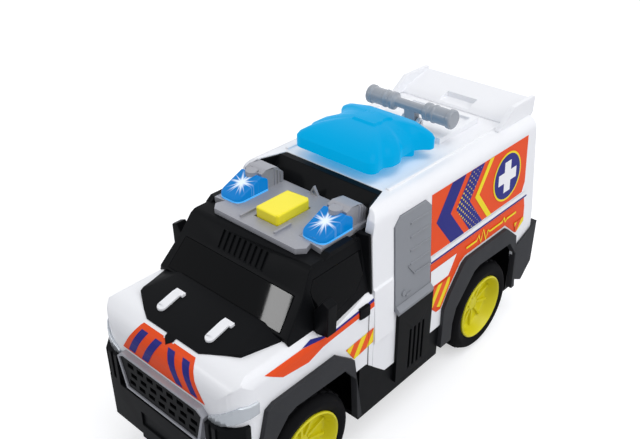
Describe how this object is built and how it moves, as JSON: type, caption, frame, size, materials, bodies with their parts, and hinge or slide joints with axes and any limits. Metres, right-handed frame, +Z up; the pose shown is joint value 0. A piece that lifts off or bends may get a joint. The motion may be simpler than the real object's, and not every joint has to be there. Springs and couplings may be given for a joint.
{
  "type": "toy ambulance",
  "caption": "Toy box ambulance with a high off-road cab, lit roof lamps, a spring-loaded light button, a folding roof lamp mast, hinged rear doors and free-rolling wheels.",
  "frame": {"origin": "on the ground, at the middle of the bounding box seen from above", "axes": "+Z up; -Y is the vehicle's front, +Y its rear, +X its left side"},
  "size_m": [0.124, 0.3, 0.1829],
  "materials": {
    "white_plastic": "gloss moulded",
    "black_plastic": "satin moulded",
    "black_glazing": "high gloss",
    "dark_grey_plastic": "satin moulded",
    "mid_grey_plastic": "satin moulded",
    "silver_grey_plastic": "satin, metallic grey",
    "headlight_plastic": "gloss clear grey",
    "blue_lens": "gloss, lit from inside",
    "blue_dome": "gloss translucent",
    "red_lens": "gloss",
    "led": "clear epoxy",
    "yellow_button": "gloss",
    "yellow_rim": "gloss",
    "tyre": "matt moulded",
    "steel": "bright drawn",
    "board": "solder mask",
    "switch": "satin",
    "battery_jacket": "printed film, bare"
  },
  "bodies": {
    "vehicle": {"chassis": "black_plastic", "cab_shell": "white_plastic", "cab_upper": "black_plastic", "windshield": "black_glazing", "side_window_left": "black_glazing", "side_window_right": "black_glazing", "hood_panel": "black_plastic", "hood_tabs": "white_plastic", "grille": "black_plastic", "grille_frame": "silver_grey_plastic", "headlight_left": "headlight_plastic", "headlight_right": "headlight_plastic", "front_bumper": "black_plastic", "box_shell": "white_plastic", "load_floor": "mid_grey_plastic", "roof_spoiler": "white_plastic", "mast_base": "white_plastic", "light_dome": "blue_dome", "leds": "led", "locker_left": "mid_grey_plastic", "locker_right": "mid_grey_plastic", "locker_vent_left": "black_plastic", "locker_vent_right": "black_plastic", "front_flare_left": "dark_grey_plastic", "front_flare_right": "dark_grey_plastic", "rear_flare_left": "dark_grey_plastic", "rear_flare_right": "dark_grey_plastic", "rear_bumper": "dark_grey_plastic", "mirror_left": "black_plastic", "mirror_right": "black_plastic", "door_handles": "black_plastic", "light_bar": "silver_grey_plastic", "lamp_lens_left": "blue_lens", "lamp_lens_right": "blue_lens", "circuit_board": "board", "push_switch": "switch", "speaker": "black_plastic", "batteries": "battery_jacket", "battery_contacts": "steel", "battery_cover": "black_plastic", "cover_screw": "steel", "body_screws": "steel", "tail_lamps": "red_lens", "door_pins": "steel", "mast_pin": "steel", "button_spring": "steel"},
    "front_wheels": {"front_axle": "steel", "front_rim_left": "yellow_rim", "front_rim_right": "yellow_rim", "front_tyre_left": "tyre", "front_tyre_right": "tyre"},
    "rear_wheels": {"rear_axle": "steel", "rear_rim_left": "yellow_rim", "rear_rim_right": "yellow_rim", "rear_tyre_left": "tyre", "rear_tyre_right": "tyre"},
    "button": {"light_button": "yellow_button"},
    "mast": {"mast_bar": "mid_grey_plastic"},
    "door_left": {"rear_door_left": "white_plastic"},
    "door_right": {"rear_door_right": "white_plastic"}
  },
  "joints": [
    {"name": "front_wheel_spin", "type": "hinge", "parent": "vehicle", "child": "front_wheels", "pos_m": [0, -0.093, 0.034], "axis": [1, 0, 0], "continuous": true},
    {"name": "rear_wheel_spin", "type": "hinge", "parent": "vehicle", "child": "rear_wheels", "pos_m": [0, 0.084, 0.034], "axis": [1, 0, 0], "continuous": true},
    {"name": "button_press", "type": "slide", "parent": "vehicle", "child": "button", "axis": [0, 0, -1], "range_m": [0, 0.002], "stiffness_N_per_m": 500, "deforming": ["button_spring"]},
    {"name": "mast_fold", "type": "hinge", "parent": "vehicle", "child": "mast", "pos_m": [0, 0.066, 0.1665], "axis": [-1, 0, 0], "range_deg": [0, 65]},
    {"name": "door_left_swing", "type": "hinge", "parent": "vehicle", "child": "door_left", "pos_m": [0.041, 0.1361, 0.113], "axis": [0, 0, -1], "range_deg": [0, 90]},
    {"name": "door_right_swing", "type": "hinge", "parent": "vehicle", "child": "door_right", "pos_m": [-0.041, 0.1361, 0.113], "axis": [0, 0, 1], "range_deg": [0, 90]}
  ]
}
